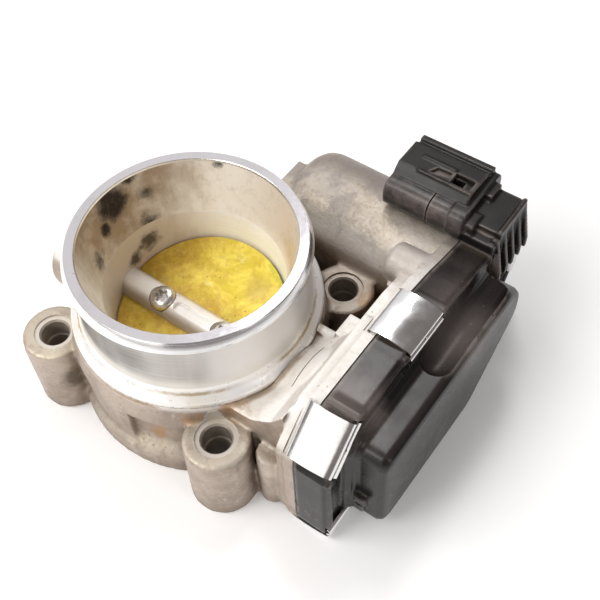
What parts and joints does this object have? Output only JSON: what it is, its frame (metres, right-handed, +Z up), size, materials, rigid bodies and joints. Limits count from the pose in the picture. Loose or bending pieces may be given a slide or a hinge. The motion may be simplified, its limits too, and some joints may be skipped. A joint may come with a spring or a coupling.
{
  "type": "electronic throttle body",
  "caption": "Cast electronic throttle body with butterfly valve, geared motor drive and clipped plastic gear cover with connector.",
  "frame": {"origin": "bore axis on the manifold mounting face", "axes": "+Z up the bore out of the air inlet, +X along the throttle shaft towards the gear cover, +Y towards the motor"},
  "size_m": [0.1096, 0.1032, 0.052],
  "materials": {
    "cast_aluminium": "die-cast, partly machined",
    "black_plastic": "satin moulded, glass-filled",
    "spring_steel": "bright rolled strip",
    "bearing_steel": "ground",
    "shaft_steel": "ground, satin",
    "chromated_plate": "yellow chromate, mottled",
    "gear_plastic": "moulded nylon",
    "magnet": "sintered",
    "brass": "machined",
    "copper": "enamelled winding",
    "seal_rubber": "matt",
    "circuit_board": "solder mask"
  },
  "bodies": {
    "housing_assembly": {"housing": "cast_aluminium", "gear_cover": "black_plastic", "cover_gasket": "seal_rubber", "cover_clip_1": "spring_steel", "cover_clip_2": "spring_steel", "cover_clip_3": "spring_steel", "cover_clip_4": "spring_steel", "cover_clip_5": "spring_steel", "needle_bearing": "bearing_steel", "shaft_end_plug": "bearing_steel", "shaft_seal": "seal_rubber", "bearing_outer_ring": "bearing_steel", "bearing_balls": "bearing_steel", "return_spring": "bearing_steel", "spring_guide": "gear_plastic", "gear_pin": "shaft_steel", "closed_stop_screw": "bearing_steel", "motor_can": "bearing_steel", "motor_wave_washer": "bearing_steel", "motor_magnet_1": "magnet", "motor_magnet_2": "magnet", "motor_rear_bush": "brass", "brush_holder": "black_plastic", "motor_brush_1": "magnet", "motor_brush_2": "magnet", "motor_mounting_plate": "bearing_steel", "motor_screw_1": "bearing_steel", "motor_screw_2": "bearing_steel", "motor_terminal_1": "brass", "motor_terminal_2": "brass", "sensor_board": "circuit_board", "sensor_chip": "black_plastic", "connector_pin_1": "brass", "connector_pin_2": "brass", "connector_pin_3": "brass", "connector_pin_4": "brass", "connector_pin_5": "brass", "connector_pin_6": "brass"},
    "throttle_valve": {"throttle_shaft": "shaft_steel", "throttle_plate": "chromated_plate", "plate_screw_1": "shaft_steel", "plate_screw_2": "shaft_steel", "bearing_inner_ring": "bearing_steel", "sector_gear": "gear_plastic", "shaft_lever": "bearing_steel", "position_magnet": "magnet"},
    "intermediate_wheel": {"intermediate_gear": "gear_plastic"},
    "motor_rotor": {"motor_shaft": "shaft_steel", "motor_armature": "copper", "motor_commutator": "copper", "motor_pinion": "brass"}
  },
  "joints": [
    {"name": "throttle_turn", "type": "hinge", "parent": "housing_assembly", "child": "throttle_valve", "pos_m": [0, -0.0024, 0.0213], "axis": [1, 0, 0], "range_deg": [-6, 76], "stiffness_Nm_per_rad": 0.15, "deforming": ["return_spring"]},
    {"name": "intermediate_gear_spin", "type": "hinge", "parent": "housing_assembly", "child": "intermediate_wheel", "pos_m": [0, 0.0291, 0.02105], "axis": [1, 0, 0], "range_deg": [-87, 8]},
    {"name": "motor_spin", "type": "hinge", "parent": "housing_assembly", "child": "motor_rotor", "pos_m": [0, 0.04906, 0.0198], "axis": [1, 0, 0], "range_deg": [-32, 390]}
  ],
  "couplings": [
    {"joint": "intermediate_gear_spin", "follows": "throttle_turn", "ratio": -1.1212},
    {"joint": "motor_spin", "follows": "throttle_turn", "ratio": 5.1077}
  ]
}
